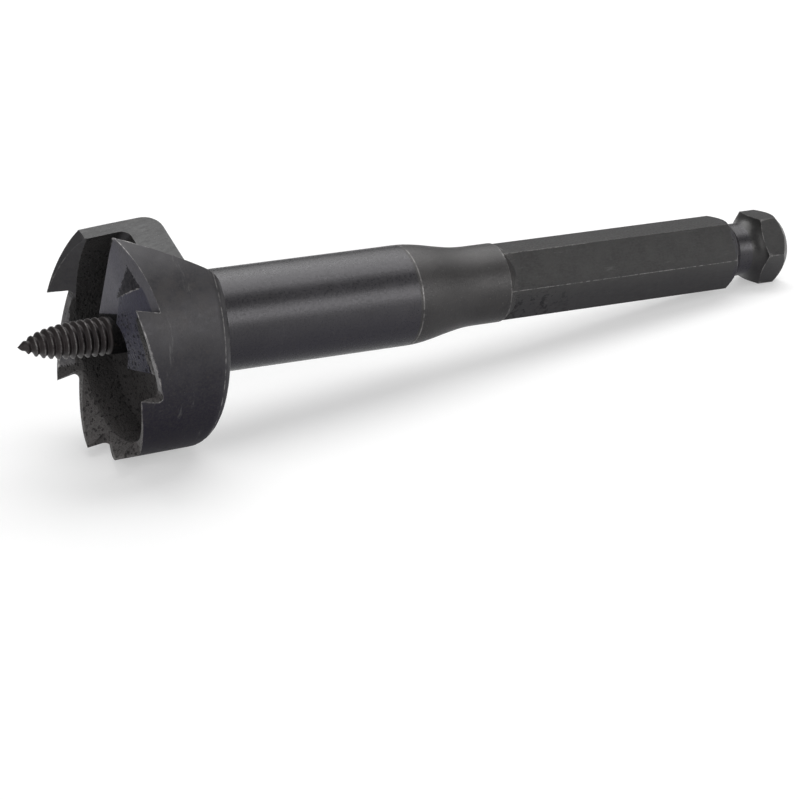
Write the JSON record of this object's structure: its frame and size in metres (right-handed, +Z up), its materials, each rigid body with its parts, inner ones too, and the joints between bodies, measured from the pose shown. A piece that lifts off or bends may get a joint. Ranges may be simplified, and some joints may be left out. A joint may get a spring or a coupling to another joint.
{
  "type": "self-feeding boring bit",
  "caption": "Wood-boring bit with a toothed cutting cup, radial lip and chip throat, a threaded feed screw held by a set screw, a round neck and a grooved hex shank.",
  "frame": {"origin": "on the surface that the bit lies on, under the middle of its box", "axes": "+X along the bit towards its shank, +Z up; the bit lies on the back edge of its cup and on a flat of its knob, so its axis dips by 6.8 degrees"},
  "size_m": [0.1358, 0.038, 0.0373],
  "materials": {
    "body_steel": "black oxide, satin, with bright worn edges",
    "screw_steel": "black oxide, dull, with a brown cast",
    "set_screw_steel": "black oxide, satin"
  },
  "bodies": {
    "root": {"bit_body": "body_steel", "feed_screw": "screw_steel", "set_screw": "set_screw_steel"}
  },
  "joints": []
}
